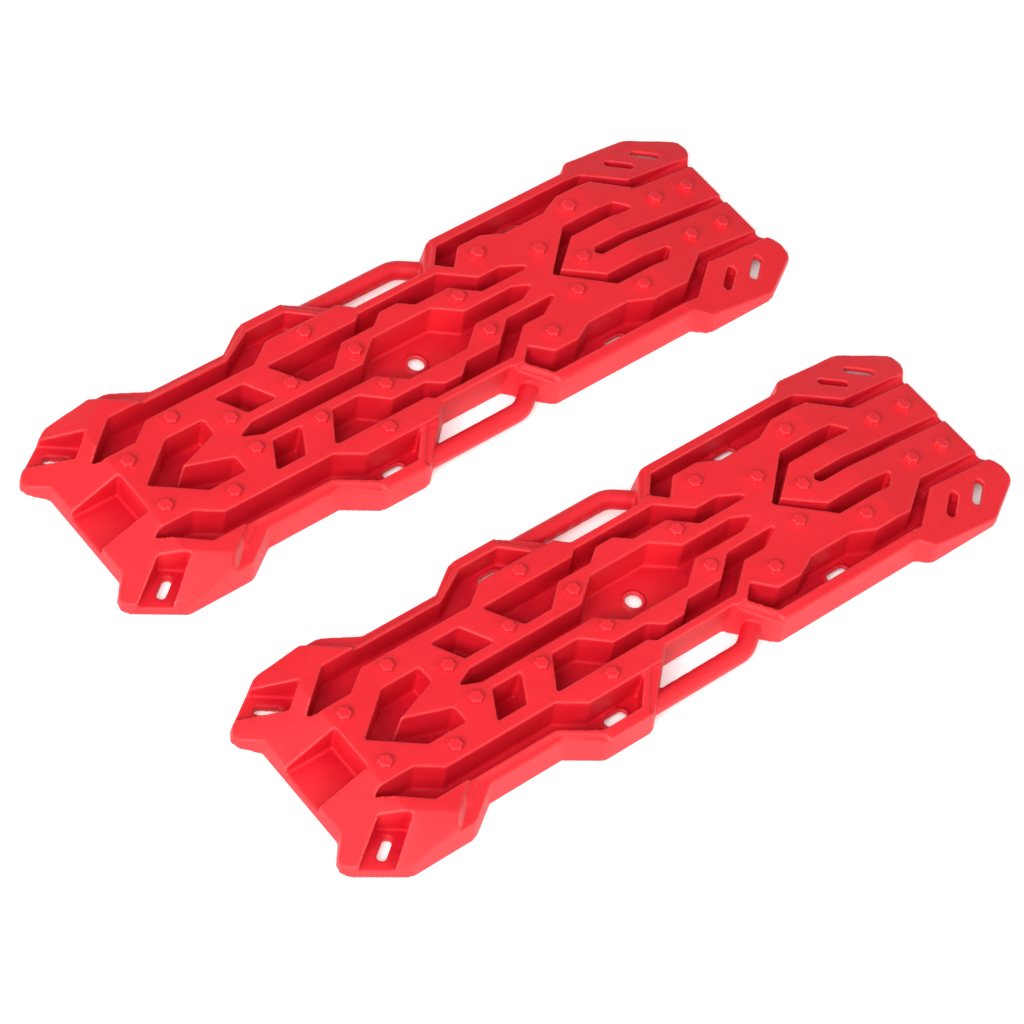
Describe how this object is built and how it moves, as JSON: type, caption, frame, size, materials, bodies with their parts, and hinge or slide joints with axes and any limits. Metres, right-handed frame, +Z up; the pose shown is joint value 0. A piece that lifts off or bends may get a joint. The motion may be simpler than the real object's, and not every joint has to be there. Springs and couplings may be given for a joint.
{
  "type": "tire traction mats",
  "caption": "Pair of moulded recovery boards with pocketed deck, hexagonal traction studs, shovel nose, drive-off ramp and side carrying handles.",
  "frame": {"origin": "on the ground, midway between the two mats and at their mid length", "axes": "+X along the mats from the shovel nose to the drive-off ramp, +Y from mat A to mat B, +Z up out of the studded face"},
  "size_m": [1.0744, 0.7584, 0.0608],
  "materials": {
    "board_plastic": "satin moulded nylon",
    "stud_plastic": "satin moulded nylon"
  },
  "bodies": {
    "mat_a": {"mat_a_board": "board_plastic", "mat_a_studs": "stud_plastic"},
    "mat_b": {"mat_b_board": "board_plastic", "mat_b_studs": "stud_plastic"}
  },
  "joints": [
    {"name": "mat_b_lift", "type": "slide", "parent": "mat_a", "child": "mat_b", "axis": [0, 0, 1], "range_m": [0, 0.3]}
  ]
}
